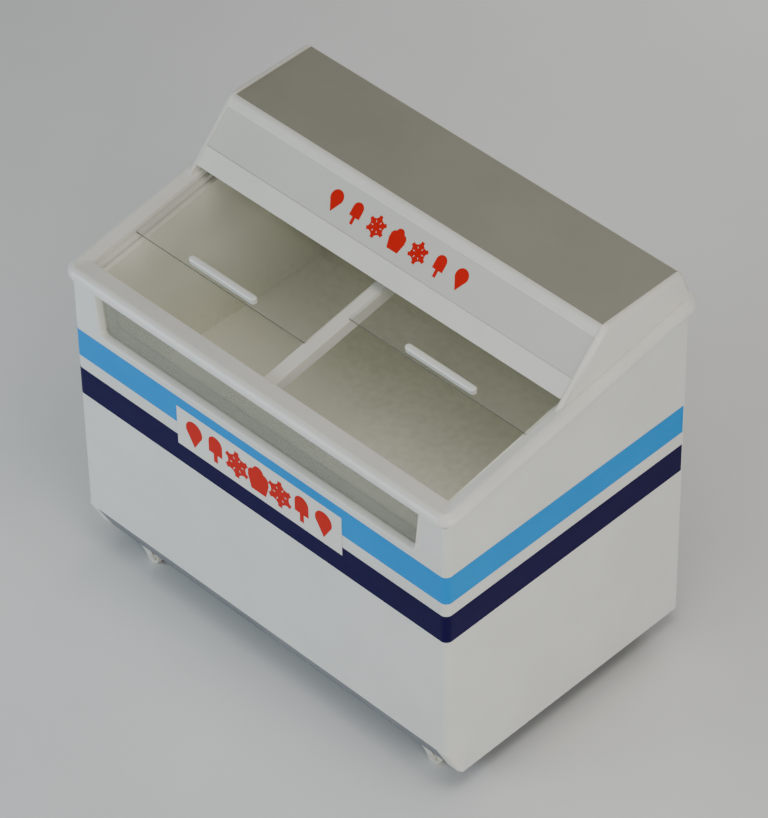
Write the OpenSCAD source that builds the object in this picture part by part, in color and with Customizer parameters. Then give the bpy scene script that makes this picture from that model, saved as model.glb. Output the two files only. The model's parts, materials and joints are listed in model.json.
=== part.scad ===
// Sliding-lid ice cream chest freezer with a lit canopy, a front window and four swivel casters.
// Millimetres. +X to the right, +Y to the back, +Z up, floor at Z = 0, front face towards -Y.
// Two working frames are used: cabinet() has its origin at the foot of the front face,
// and deck() is tilted with the sloping lid deck, its second axis running up the slope.

/* [Cabinet] */
// Width of the painted cabinet
body_w = 1100; // [1060:5:1160]
// Depth of the painted cabinet
body_d = 718; // [710:1:730]
// Distance from the middle of the whole freezer to the front face
front_inset = 366; // [364:1:368]
// Height of the side panels' lower edge above the floor
floor_gap = 52; // [50:1:60]
// Sheet metal thickness of the outer wrap
wrap_t = 1.2; // [0.8:0.1:2]
// Radius of the two front vertical corners
front_r = 16; // [12:1:20]
// Radius of the two rear vertical corners
rear_r = 7; // [5:1:10]
// Height of the sloping kick recess
kick_h = 81; // [70:1:90]
// Depth of the kick recess at its foot
kick_d = 42; // [35:1:45]
// Height of the corner caps
cap_h = 96; // [85:1:110]

/* [Lid deck] */
// Slope of the lid deck, in degrees
deck_slope = 9.2; // [8.8:0.1:9.6]
// Height of the lid glass above the panels' lower edge, at the front face
deck_h = 760; // [740:5:780]
// Radius of the rounded rim
rim_r = 18.3; // [17:0.1:19]
// How far the rim stands out from the sides
rim_side_over = 12; // [10:1:15]
// How far the rim stands out in front
rim_front_over = 13; // [12:1:15]
// Corner radius of the rim in plan
rim_corner_r = 37; // [37:1:44]
// Width of the rim from its outer edge to the glass recess
rim_band = 40; // [38:1:42]
// Width of the ledge inside the recess
ledge_w = 12; // [10:1:13]
// Thickness of the ledge
ledge_t = 2.8; // [2.5:0.1:4]

/* [Lids] */
// Length of each glass lid along the slope
lid_l = 355; // [350:1:360]
// Thickness of the lid glass
glass_t = 5; // [4:0.5:6]
// Place of the left lid's front edge along the slope as stored
left_lid_v = 165; // [60:1:300]
// Place of the right lid's front edge along the slope as stored
right_lid_v = 270; // [60:1:300]
// Gap between the two lids
lid_gap = 24; // [20:1:26]
// Length of each lid handle
handle_l = 198; // [150:1:220]
// Width of each lid handle
handle_w = 20; // [16:1:22]
// Height of each lid handle
handle_h = 16; // [12:1:18]

/* [Tub] */
// Inside width of the tub
tub_w = 999; // [980:1:1004]
// Height of the tub floor above the panels' lower edge
tub_floor = 403; // [400:1:410]
// Distance from the front face to the tub's front wall
tub_front = 50; // [49:1:52]
// Distance from the front face to the tub's rear wall
tub_rear = 681; // [675:1:682]
// Thickness of the tub liner
liner_t = 2; // [1.5:0.1:3]
// Height of the machine compartment
machine_h = 343; // [340:1:345]

/* [Front window] */
// Width of the window opening at its sill
window_w = 923; // [900:1:930]
// Height of the window sill above the panels' lower edge
window_sill = 626; // [620:0.5:630]
// Radius of the window's lower corners
window_r = 20; // [15:1:30]
// Lean of the window's ends, in degrees
window_lean = 7.5; // [5:0.5:8]

/* [Canopy] */
// Thickness of each cheek
cheek_t = 14; // [12:1:15]
// Height of the cheeks above the panels' lower edge
canopy_h = 973.5; // [970:0.5:980]
// Distance from the front face to the cheeks' top front corner
canopy_front = 470; // [465:1:475]
// Distance from the front face to the cheeks' top rear corner
canopy_rear = 704; // [700:1:706]
// Slope of the canopy's front, in degrees
canopy_slope = 46.7; // [46:0.1:47.4]
// Length of the canopy's front up its slope, below the cheeks' corner
fascia_l = 174; // [172:1:175]
// Width of the lower fascia rail, up the slope
lower_rail_w = 50; // [45:1:55]
// Width of the sign panel, up the slope
sign_w = 94; // [90:1:98]

/* [Graphics] */
// Height of the navy stripe's lower edge
navy_z = 417.5; // [415:0.5:420]
// Height of the light blue stripe's lower edge
blue_z = 528.6; // [526:0.2:532]
// Width of each stripe
stripe_w = 75.5; // [70:0.5:80]
// Width of the front badge
badge_w = 488; // [450:1:500]
// Height of the front badge
badge_h = 107; // [100:1:112]

/* [Casters] */
// Diameter of the caster wheels
wheel_d = 40; // [36:1:42]
// Tread width of the caster wheels
wheel_w = 18; // [16:1:20]
// Trail of the wheel behind the swivel axis
trail = 21; // [18:1:24]
// Distance of each swivel axis from the middle, sideways
caster_x = 432; // [400:1:440]
// Distance of each swivel axis from the front and rear faces
caster_inset = 64; // [62:1:70]

/* [Hidden] */
$fn = 64;

far = 2000;
eps = 0.01;
white = [0.88, 0.87, 0.83];
liner_white = [0.84, 0.84, 0.80];
light_blue = [0.20, 0.55, 0.80];
navy = [0.10, 0.10, 0.28];
red = [0.72, 0.14, 0.10];
dark_grey = [0.20, 0.22, 0.24];
zinc = [0.65, 0.66, 0.68];
clear = [0.75, 0.80, 0.80, 0.35];

// Deck: the rim is as long again behind the middle of the freezer as in front of it
rim_mid_v = front_inset / cos(deck_slope);
rim_v0 = -rim_front_over;
rim_v1 = 2 * rim_mid_v + rim_front_over;
rim_half = body_w / 2 + rim_side_over;
recess_half = rim_half - rim_band;
recess_v0 = rim_v0 + rim_band + 16;
recess_v1 = rim_v1 - rim_band;
ledge_w0 = -rim_r + ledge_t;
opening_half = recess_half - ledge_w;
track_top = -glass_t - 0.3;

// Tub
drain_x = -340;
coil_r = 4.5;
coil_offset = 5.5;
coil_bend = 7;
coil_space = 12;
flange_half = 520;
flange_t = 2.7;

// Centre rail
rail_half = 17;
rail_h = 20;
rail_top = -rim_r - 0.3;
rail_v0 = 54;
rail_v1 = 679;

// Canopy, in the fascia's own frame: s runs up the slope and n stands off it
fascia_y = canopy_front - fascia_l * cos(canopy_slope);
fascia_z = canopy_h - fascia_l * sin(canopy_slope);
rail_set_back = 1;
rail_thick = 11;
canopy_in = rim_half - rim_r - 1 - cheek_t;
canopy_sheet = 4;
canopy_drop = 5.5;
canopy_top_z = canopy_h - canopy_drop;
reflector_w = 30;
reflector_t = 2.5;
function fascia_pt(s, n) = [fascia_y + s * cos(canopy_slope) - n * sin(canopy_slope),
                            fascia_z + s * sin(canopy_slope) + n * cos(canopy_slope)];

// Machine compartment
pan_z = 16;
pan_t = 1.5;
pan_top = pan_z + pan_t;
cross_rail_w = 50;
cross_rail_h = 28;
grille_t = 1.8;
vent_half = 470;
vent_z0 = 60;
vent_z1 = 320;
compressor_at = [215, 520];
compressor_r = 65;
compressor_h = 150;
mount_h = 16;
condenser_at = [-270, 620];
condenser_size = [260, 60, 240];
condenser_z = pan_top + 18;
fan_z = condenser_z + condenser_size[2] / 2;
fan_y = 600;
fan_r = 94;
motor_r = 36;
motor_y = 530;
motor_l = 50;
shaft_r = 4;
bore_gap = 0.05;
pipe_r = 4;
riser_at = [drain_x, tub_rear + liner_t + coil_offset];
riser_z = machine_h - 20;

// Controls at the rear
control_at = [390, 270];
control_size = [150, 44, 90];
knob_x = 350;
switch_x = 425;
knob_r = 17;
rear_y = body_d;

// Drain
drain_at = [drain_x, 150];
drain_r = 14;
drain_bore_r = 9.3;
drain_end = -30;
spigot_r = 12;
spigot_l = 28;
plug_r = 8.9;

// Casters, heights above the floor
wheel_r = wheel_d / 2;
crown_z = 46;
crown_t = 4.5;
crown_r = 18;
kingpin_r = 5;
housing_z = crown_z + crown_t + 0.4;
caster_plate_z = floor_gap + pan_z - 3;
axle_r = 4;
arm_in = wheel_w / 2 + 0.6;
arm_t = 2.2;

// ---------- frames and cutting helpers ----------
module cabinet() { translate([0, -front_inset, floor_gap]) children(); }
module deck() { cabinet() translate([0, 0, deck_h]) rotate([deck_slope, 0, 0]) children(); }
module below_deck(w) {
    difference() {
        children();
        deck() translate([-far, -far, w]) cube([2 * far, 2 * far, far]);
    }
}
module above_deck(w) {
    difference() {
        children();
        deck() translate([-far, -far, w - far]) cube([2 * far, 2 * far, far]);
    }
}
// Extrudes a Y-Z outline along X, centred
module along_x(w) { rotate([90, 0, 90]) linear_extrude(w, center = true) children(); }
// Extrudes an X-Z outline from y0 to y1
module along_y(y0, y1) {
    translate([0, y1, 0]) rotate([90, 0, 0]) linear_extrude(y1 - y0) children();
}
module box_at(x0, x1, y0, y1, z0, z1) {
    translate([x0, y0, z0]) cube([x1 - x0, y1 - y0, z1 - z0]);
}
// Rectangle in plan with one radius for the front corners and one for the rear ones
module plan_rect(half, y0, y1, rf, rr) {
    translate([-half, y0 + rf]) square([2 * half, y1 - y0 - rf - rr]);
    translate([-half + rf, y0]) square([2 * (half - rf), rf + eps]);
    translate([-half + rr, y1 - rr - eps]) square([2 * (half - rr), rr + eps]);
    for (s = [-1, 1]) {
        translate([s * (half - rf), y0 + rf]) circle(rf);
        translate([s * (half - rr), y1 - rr]) circle(rr);
    }
}
// Cabinet plan, grown outwards by g
module body_plan(g) { plan_rect(body_w / 2 + g, -g, body_d + g, front_r + g, rear_r + g); }
// Wedge of space that the kick recess takes out of the foot of the front
module kick_space(back) {
    along_x(far) polygon([[-60, -60], [kick_d + back + 60 * kick_d / kick_h, -60],
                          [back, kick_h], [-60, kick_h]]);
}

// ---------- cabinet shell ----------
kick_start = wrap_t + 0.2;
cap_t = 3.5;
// Opening with leaning ends and round lower corners, carried on up behind the rim
module window_outline(inset) {
    z0 = window_sill + inset;
    r = window_r - inset;
    h = 200;
    half = window_w / 2 - window_r * tan(45 - window_lean / 2);
    c = [r * cos(window_lean), -r * sin(window_lean)];
    top = [half + c[0] + h * tan(window_lean), z0 + r + c[1] + h];
    polygon([[-half, z0], [half, z0], [half + c[0], z0 + r + c[1]], top,
             [-top[0], top[1]], [-half - c[0], z0 + r + c[1]]]);
    for (s = [-1, 1]) translate([s * half, z0 + r]) circle(r);
}
module outer_wrap() {
    color(white) below_deck(-rim_r) cabinet() difference() {
        linear_extrude(1000) difference() {
            body_plan(0);
            body_plan(-wrap_t);
            translate([-body_w / 2 + 22, body_d - 10]) square([body_w - 44, 20]);
        }
        kick_space(cap_t + 0.3);
        along_y(-5, 30) window_outline(0);
    }
}
module back_panel() {
    inner = body_d - wrap_t - 0.1;
    color(white) below_deck(-rim_r) cabinet() difference() {
        box_at(-body_w / 2 + wrap_t + 6.5, body_w / 2 - wrap_t - 6.5, inner - 1.5, inner, 0, 1000);
        box_at(-vent_half, vent_half, inner - 5, inner + 5, vent_z0, vent_z1);
    }
}
module rear_grille() {
    slot_w = 170;
    slot_h = 9;
    color(white) cabinet() difference() {
        box_at(-vent_half - 25, vent_half + 25, rear_y - wrap_t, rear_y - wrap_t + grille_t,
               vent_z0 - 20, vent_z1 + 10);
        for (x = [-345, -145, 55], z = [90 : 22 : 300])
            box_at(x - slot_w / 2, x + slot_w / 2, rear_y - 10, rear_y + 10, z, z + slot_h);
        box_at(control_at[0] - control_size[0] / 2 - 0.2, control_at[0] + control_size[0] / 2 + 0.2,
               rear_y - 10, rear_y + 10,
               control_at[1] - control_size[2] / 2 - 0.2, control_at[1] + control_size[2] / 2 + 0.2);
        translate([control_at[0], rear_y - 10, 110]) rotate([-90, 0, 0]) cylinder(r = 10.1, h = 20);
    }
}
// Channel with its open side down, half as wide as w says
module rail_outline(w, h, t) {
    polygon([[-w, 0], [-w, h], [w, h], [w, 0], [w - t, 0], [w - t, h - t], [-w + t, h - t], [-w + t, 0]]);
}
module base_pan() {
    color(dark_grey) cabinet() difference() {
        union() {
            difference() {
                box_at(-body_w / 2 + wrap_t + 0.1, body_w / 2 - wrap_t - 0.1, kick_d + 4, body_d - 12,
                       pan_z, pan_top);
                for (x = [-1, 1]) box_at(x * body_w / 2 - 12, x * body_w / 2 + 12, body_d - 40, body_d,
                                         pan_z - 5, pan_top + 5);
            }
            for (s = [-1, 1]) translate([s * caster_x, 0, pan_top])
                along_y(kick_d + 4, body_d - 42) rail_outline(cross_rail_w / 2, cross_rail_h, 2);
        }
        translate([drain_at[0], drain_at[1], 0]) cylinder(r = drain_r + 1, h = 100);
    }
}
module kick_panel() {
    t = 3;
    half = body_w / 2 - 33;
    color(dark_grey) cabinet() along_x(2 * half)
        polygon([[kick_start, kick_h - 2.4], [kick_d, 0], [kick_d + t, 0],
                 [kick_start + t, kick_h - 2.4]]);
}
// Moulded cap round the foot of one front corner, closing the end of the kick recess
module corner_cap(s) {
    proud = 2.5;
    inner = body_w / 2 - 32;
    outer = body_w / 2 + proud;
    color(white) cabinet() {
        difference() {
            linear_extrude(cap_h) intersection() {
                difference() {
                    body_plan(proud);
                    body_plan(0.02);
                }
                translate([s > 0 ? inner : -outer, -10]) square([outer - inner, 65]);
            }
            kick_space(-proud);
        }
        translate([s * (inner + outer) / 2, 0, 0]) along_x(outer - inner)
            polygon([[kick_start, kick_h - 2.4], [kick_d - proud, 0], [kick_d + cap_t - proud, 0],
                     [kick_start + cap_t, kick_h - 2.4]]);
    }
}
module left_corner_cap() { corner_cap(-1); }
module right_corner_cap() { corner_cap(1); }

// ---------- graphics ----------
stripe_t = 0.4;
badge_t = 1.2;
icon_t = 0.5;
module stripe(z, tint) {
    color(tint) cabinet() translate([0, 0, z]) linear_extrude(stripe_w) difference() {
        body_plan(stripe_t);
        body_plan(0.005);
        translate([-far, body_d - 8]) square([2 * far, far]);
    }
}
module light_blue_stripe() { stripe(blue_z, light_blue); }
module navy_stripe() { stripe(navy_z, navy); }
badge_mid = [9, 523.5];
module front_badge() {
    color(white) cabinet() along_y(-stripe_t - badge_t, -stripe_t) translate(badge_mid)
        square([badge_w, badge_h], center = true);
}
// Simple pictograms, drawn one unit high about their middle
module cone_icon() {
    polygon([[-0.34, 0.08], [0.34, 0.08], [0, -0.5]]);
    translate([0, 0.16]) circle(0.34);
}
module lolly_icon() {
    translate([-0.28, -0.18]) square([0.56, 0.4]);
    translate([0, 0.22]) circle(0.28);
    translate([-0.08, -0.5]) square([0.16, 0.4]);
}
module tub_icon() {
    polygon([[-0.44, 0.02], [0.44, 0.02], [0.3, -0.5], [-0.3, -0.5]]);
    for (x = [-0.2, 0.2]) translate([x, 0.1]) circle(0.22);
    translate([0, 0.28]) circle(0.22);
}
module flake_icon() {
    for (a = [0, 60, 120]) rotate(a) square([0.17, 1], center = true);
    for (a = [0 : 60 : 300]) rotate(a) translate([0, 0.3]) rotate(45) square([0.26, 0.26], center = true);
}
module icon_row(h, pitch) {
    for (i = [-3 : 3]) translate([i * pitch, 0]) scale(h) {
        if (abs(i) == 3) cone_icon();
        if (abs(i) == 2) lolly_icon();
        if (abs(i) == 1) flake_icon();
        if (i == 0) tub_icon();
    }
}
module badge_pictograms() {
    front = -stripe_t - badge_t;
    color(red) cabinet() along_y(front - icon_t, front) translate(badge_mid) icon_row(72, 64);
}

// ---------- insulation, tub and evaporator ----------
module foam_plan() {
    intersection() {
        body_plan(-wrap_t - 0.2);
        translate([-far, -far]) square([2 * far, far + body_d - wrap_t - 1.9]);
    }
}
// Slabs of foam: five on the floor round the drain and the riser, then front, sides and rear
module insulation_foam() {
    gap = 0.2;
    floor_top = tub_floor - liner_t - gap;
    x = tub_w / 2 + liner_t + coil_space;
    y0 = tub_front - liner_t - coil_space;
    y1 = tub_rear + liner_t + coil_space;
    front = wrap_t + gap;
    dx0 = drain_at[0] - drain_r - gap;
    dx1 = drain_at[0] + drain_r + gap;
    color([0.85, 0.78, 0.55]) below_deck(-rim_r - flange_t - gap) cabinet() {
        intersection() {
            translate([0, 0, machine_h]) linear_extrude(floor_top - machine_h) foam_plan();
            union() {
                box_at(-far, dx0, -far, far, 0, far);
                box_at(dx1, far, -far, far, 0, far);
                box_at(dx0 + gap, dx1 - gap, -far, drain_at[1] - drain_r - gap, 0, far);
                box_at(dx0 + gap, dx1 - gap, drain_at[1] + drain_r + gap, riser_at[1] - coil_r - gap, 0, far);
                box_at(dx0 + gap, dx1 - gap, riser_at[1] + coil_r + gap, far, 0, far);
            }
        }
        intersection() {
            translate([0, 0, floor_top + gap]) linear_extrude(600) foam_plan();
            for (s = [-1, 1]) box_at(s > 0 ? x : -far, s > 0 ? far : -x, -far, far, 0, far);
        }
        box_at(-x + gap, x - gap, y1, body_d - wrap_t - 1.9, floor_top + gap, 1000);
        box_at(-x + gap, x - gap, front, y0, floor_top + gap, window_sill - gap);
        difference() {
            box_at(-x + gap, x - gap, front, y0, window_sill + eps, 1000);
            along_y(-5, 200) window_outline(-0.1);
        }
    }
}
// Folded liner sheets: floor, four walls with their butt seams, and the flange on top
module tub_liner() {
    x = tub_w / 2;
    seam = 0.05;
    wall_z = tub_floor + seam;
    color(liner_white) {
        below_deck(-rim_r - flange_t - seam) cabinet() {
            difference() {
                box_at(-x - liner_t, x + liner_t, tub_front - liner_t, tub_rear + liner_t,
                       tub_floor - liner_t, tub_floor);
                translate([drain_at[0], drain_at[1], 300]) cylinder(r = drain_r + 0.1, h = 200);
            }
            for (s = [-1, 1]) box_at(s > 0 ? x : -x - liner_t, s > 0 ? x + liner_t : -x,
                                     tub_front - liner_t, tub_rear + liner_t, wall_z, 1000);
            box_at(-x + seam, x - seam, tub_rear, tub_rear + liner_t, wall_z, 1000);
            box_at(-x + seam, x - seam, tub_front - liner_t, tub_front, wall_z, window_sill - 0.1);
            difference() {
                box_at(-x + seam, x - seam, tub_front - liner_t, tub_front, window_sill - 0.1 + seam, 1000);
                along_y(tub_front - 30, tub_front + 30) window_outline(-0.1);
            }
        }
        intersection() {
            deck() box_at(-flange_half, flange_half, tub_front - 7, 707, -rim_r - flange_t, -rim_r - eps);
            cabinet() union() {
                for (s = [-1, 1]) box_at(s > 0 ? x : -far, s > 0 ? far : -x, -far, far, 0, far);
                box_at(-x + seam, x - seam, -far, tub_front, 0, far);
                box_at(-x + seam, x - seam, tub_rear, far, 0, far);
            }
        }
    }
}
module coil_loop() {
    off = liner_t + coil_offset;
    x = tub_w / 2 + off;
    r = coil_bend;
    y0 = tub_front - off;
    y1 = tub_rear + off;
    for (s = [-1, 1]) {
        translate([s * x, y0 + r, 0]) rotate([-90, 0, 0]) cylinder(r = coil_r, h = y1 - y0 - 2 * r);
        translate([-x + r, s > 0 ? y1 : y0, 0]) rotate([0, 90, 0]) cylinder(r = coil_r, h = 2 * (x - r));
    }
    for (c = [[x - r, y1 - r, 0], [-x + r, y1 - r, 90], [-x + r, y0 + r, 180], [x - r, y0 + r, 270]])
        translate([c[0], c[1], 0]) rotate(c[2]) rotate_extrude(angle = 90) translate([r, 0]) circle(coil_r);
}
module evaporator_tube() {
    low = tub_floor + 20;
    high = tub_floor + 195;
    color([0.72, 0.45, 0.30]) cabinet() {
        for (z = [low : 35 : high]) translate([0, 0, z]) coil_loop();
        translate([riser_at[0], riser_at[1], riser_z]) cylinder(r = coil_r, h = high - riser_z);
    }
}

// ---------- front window ----------
window_depth = tub_front - liner_t - wrap_t - 0.2;
lip_t = 2;
// Frame that lines the whole wall, with a lip on the outside of the wrap
module window_frame() {
    color([0.80, 0.80, 0.77]) below_deck(-rim_r - flange_t - 0.2) cabinet() difference() {
        union() {
            along_y(-lip_t, wrap_t + 0.1 + window_depth) window_outline(0.1);
            along_y(-lip_t, -eps) window_outline(-7);
        }
        along_y(-20, 100) window_outline(4);
    }
}
module window_pane(y) {
    color(clear) below_deck(-rim_r - flange_t - 0.2) cabinet() along_y(y, y + 4) window_outline(4);
}
module window_outer_pane() { window_pane(13); }
module window_inner_pane() { window_pane(41); }

// ---------- rim, rail and tracks ----------
module rim_frame() {
    a = rim_half - rim_r;
    v0 = rim_v0 + rim_r;
    v1 = rim_v1 - rim_r;
    r = rim_corner_r - rim_r;
    color(white) deck() difference() {
        union() {
            translate([0, 0, -rim_r]) linear_extrude(2 * rim_r) plan_rect(a, v0, v1, r, r);
            for (s = [-1, 1]) {
                translate([s * a, v0 + r, 0]) rotate([-90, 0, 0])
                    cylinder(r = rim_r, h = v1 - v0 - 2 * r);
                translate([-a + r, s > 0 ? v1 : v0, 0]) rotate([0, 90, 0])
                    cylinder(r = rim_r, h = 2 * (a - r));
            }
            for (c = [[a - r, v1 - r, 0], [-a + r, v1 - r, 90], [-a + r, v0 + r, 180], [a - r, v0 + r, 270]])
                translate([c[0], c[1], 0]) rotate(c[2]) rotate_extrude(angle = 90)
                    translate([r, 0]) circle(rim_r);
        }
        box_at(-recess_half, recess_half, recess_v0, recess_v1, ledge_w0, far);
        box_at(-opening_half, opening_half, recess_v0 + ledge_w, recess_v1 - ledge_w, -far, far);
    }
}
module centre_rail() {
    color(white) deck()
        box_at(-rail_half, rail_half, rail_v0, rail_v1, rail_top - rail_h, rail_top);
}
module lid_tracks() {
    color([0.86, 0.86, 0.84]) deck() {
        for (s = [-1, 1]) box_at(s > 0 ? recess_half - 11 : -recess_half + 1,
                                 s > 0 ? recess_half - 1 : -recess_half + 11,
                                 recess_v0 + 1, recess_v1 - 1, ledge_w0, track_top);
        box_at(-rail_half, rail_half, recess_v0 + 1, recess_v1 - 1, ledge_w0, track_top);
        box_at(-rail_half, rail_half, recess_v0 + ledge_w + 1, rail_v1 - 1, rail_top, ledge_w0 + 1);
    }
}
module lid_buffers() {
    color([0.15, 0.15, 0.15]) deck() for (x = [-400, -150, 150, 400])
        box_at(x - 15, x + 15, recess_v1 - 7, recess_v1, ledge_w0, 0);
}

// ---------- canopy ----------
module cheek(s) {
    top_front = fascia_pt(fascia_l, 0);
    foot = fascia_pt(-40, 0);
    color(white) above_deck(rim_r) cabinet() translate([s * (canopy_in + cheek_t / 2), 0, 0])
        along_x(cheek_t) difference() {
            polygon([foot, top_front, [canopy_rear, canopy_h], [canopy_rear + 26, canopy_h - 74],
                     [canopy_rear + 26, 700], [foot[0], 700]]);
        }
}
module left_cheek() { cheek(-1); }
module right_cheek() { cheek(1); }
module canopy_top() {
    color(white) cabinet() box_at(-canopy_in, canopy_in, canopy_front + 6, canopy_rear - 3,
                                  canopy_top_z - canopy_sheet, canopy_top_z);
}
module canopy_back() {
    color(white) above_deck(rim_r) cabinet() along_x(2 * canopy_in)
        polygon([[canopy_rear - 3, canopy_top_z], [canopy_rear, canopy_top_z],
                 [canopy_rear + 26, canopy_h - 74], [canopy_rear + 26, 700],
                 [canopy_rear + 22, 700], [canopy_rear + 22, canopy_h - 76],
                 [canopy_rear - 3, canopy_top_z - 6]]);
}
module fascia_upper_rail() {
    s0 = lower_rail_w + sign_w;
    n = -rail_set_back;
    color(white) cabinet() along_x(2 * canopy_in)
        polygon([fascia_pt(s0, n), fascia_pt(fascia_l - 6, n), [canopy_front + 6, canopy_top_z],
                 [canopy_front + 6, canopy_top_z - 9], fascia_pt(s0, n - rail_thick)]);
}
module fascia_lower_rail() {
    n = -rail_set_back;
    color(white) above_deck(reflector_w) cabinet() along_x(2 * canopy_in)
        polygon([fascia_pt(-30, n), fascia_pt(lower_rail_w, n), fascia_pt(lower_rail_w, n - rail_thick),
                 fascia_pt(-30, n - rail_thick)]);
}
sign_n = -rail_set_back - 2.5;
sign_t = 3;
module fascia_plane(n) {
    cabinet() translate([0, fascia_y, fascia_z]) rotate([canopy_slope, 0, 0]) translate([0, 0, n])
        children();
}
module sign_panel() {
    color([0.93, 0.93, 0.90]) fascia_plane(sign_n - sign_t) translate([-canopy_in, lower_rail_w, 0])
        cube([2 * canopy_in, sign_w, sign_t]);
}
module sign_pictograms() {
    color(red) fascia_plane(sign_n) translate([5, lower_rail_w + sign_w / 2, 0])
        linear_extrude(icon_t) icon_row(50, 60);
}
module lamp_reflector() {
    v0 = 388;
    color([0.90, 0.90, 0.88]) deck()
        box_at(-canopy_in, canopy_in, v0, 733, reflector_w, reflector_w + reflector_t);
}
lamp_v = 470;
lamp_w = reflector_w + 34;
lamp_r = 13;
lamp_half = 450;
module lamp_tube() {
    color([0.95, 0.95, 0.93]) deck() translate([-lamp_half, lamp_v, lamp_w]) rotate([0, 90, 0])
        cylinder(r = lamp_r, h = 2 * lamp_half);
}
module lamp_holders() {
    color([0.85, 0.85, 0.85]) deck() {
        for (s = [-1, 1]) box_at(s > 0 ? lamp_half : -lamp_half - 18, s > 0 ? lamp_half + 18 : -lamp_half,
                                 lamp_v - 15, lamp_v + 15, reflector_w + reflector_t, lamp_w + 15);
        box_at(-120, 120, lamp_v + 80, lamp_v + 120, reflector_w + reflector_t, reflector_w + 32);
    }
}

// ---------- machine compartment ----------
// Tube through a list of points, with round elbows
module tube_run(pts, r) {
    for (i = [0 : len(pts) - 2]) {
        d = pts[i + 1] - pts[i];
        flat = norm([d[0], d[1]]);
        translate(pts[i]) rotate([0, atan2(flat, d[2]), atan2(d[1], d[0])]) cylinder(r = r, h = norm(d));
        if (i > 0) translate(pts[i]) sphere(r = r);
    }
}
compressor_z = pan_top + mount_h;
module compressor() {
    dome = 25;
    color([0.08, 0.08, 0.09]) cabinet() translate([compressor_at[0], compressor_at[1], compressor_z]) {
        rotate_extrude() difference() {
            union() {
                square([compressor_r - dome, compressor_h]);
                translate([0, dome]) square([compressor_r, compressor_h - 2 * dome]);
                for (z = [dome, compressor_h - dome]) translate([compressor_r - dome, z]) circle(dome);
            }
            translate([-far, -far]) square([far, 2 * far]);
        }
        translate([-95, -60, 0]) cube([190, 120, 4]);
        translate([compressor_r - 8, -25, 50]) cube([30, 50, 60]);
    }
}
module compressor_mounts() {
    color([0.12, 0.12, 0.12]) cabinet()
        for (x = [-80, 80], y = [-48, 48])
            translate([compressor_at[0] + x, compressor_at[1] + y, pan_top]) cylinder(r = 12, h = mount_h);
}
module condenser() {
    s = condenser_size;
    fins = 25;
    pitch = (s[0] - 2) / fins;
    color(zinc) cabinet() translate([condenser_at[0] - s[0] / 2, condenser_at[1], condenser_z]) {
        for (i = [0 : fins]) translate([i * pitch, 0, 0]) cube([1.6, s[1], s[2]]);
        for (z = [20 : 40 : 220], y = [15, 45]) translate([-8, y, z]) rotate([0, 90, 0])
            cylinder(r = pipe_r, h = s[0] + 16);
        for (y = [0, s[1] - 3]) for (z = [0, s[2] - 6]) translate([0, y, z]) cube([s[0], 3, 6]);
        for (x = [20, s[0] - 40]) translate([x, 0, pan_top - condenser_z]) cube([20, s[1], 18]);
    }
}
module fan_shroud() {
    s = condenser_size;
    x = condenser_at[0];
    color(dark_grey) cabinet() {
        difference() {
            union() {
                box_at(x - s[0] / 2, x + s[0] / 2, condenser_at[1] - 4, condenser_at[1],
                       condenser_z, condenser_z + s[2]);
                translate([x, fan_y - 10, fan_z]) rotate([-90, 0, 0]) cylinder(r = fan_r + 9, h = 26);
            }
            translate([x, fan_y - 20, fan_z]) rotate([-90, 0, 0]) cylinder(r = fan_r + 6, h = 60);
        }
        difference() {
            union() {
                box_at(x - 106, x + 106, motor_y + 15, motor_y + 21, fan_z - 8, fan_z + 8);
                for (s2 = [-1, 1]) box_at(x + s2 * 103 - 3, x + s2 * 103 + 3, motor_y + 15,
                                          condenser_at[1] - 4, fan_z - 8, fan_z + 8);
            }
            translate([x, 0, fan_z]) rotate([-90, 0, 0]) cylinder(r = motor_r, h = 700);
            translate([x, fan_y - 14, fan_z]) rotate([-90, 0, 0]) cylinder(r = fan_r + 6, h = 60);
        }
    }
}
module fan_motor() {
    color(dark_grey) cabinet() translate([condenser_at[0], motor_y, fan_z]) rotate([-90, 0, 0]) {
        cylinder(r = motor_r, h = motor_l);
        cylinder(r = shaft_r, h = fan_y - motor_y + 10);
    }
}
module fan_blades() {
    hub_r = 20;
    blade_l = fan_r - hub_r + 3;
    color([0.75, 0.76, 0.78]) cabinet() translate([condenser_at[0], fan_y, fan_z]) rotate([-90, 0, 0])
        difference() {
            union() {
                translate([0, 0, -12]) cylinder(r = hub_r, h = 24);
                for (i = [0 : 4]) rotate(i * 72) translate([hub_r - 3, 0, 0]) rotate([28, 0, 0])
                    translate([0, -22, -0.8]) cube([blade_l, 44, 1.6]);
            }
            translate([0, 0, -20]) cylinder(r = shaft_r + bore_gap, h = 40);
            difference() {
                translate([0, 0, -40]) cylinder(r = fan_r + 60, h = 80);
                translate([0, 0, -41]) cylinder(r = fan_r, h = 82);
            }
        }
}
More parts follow.
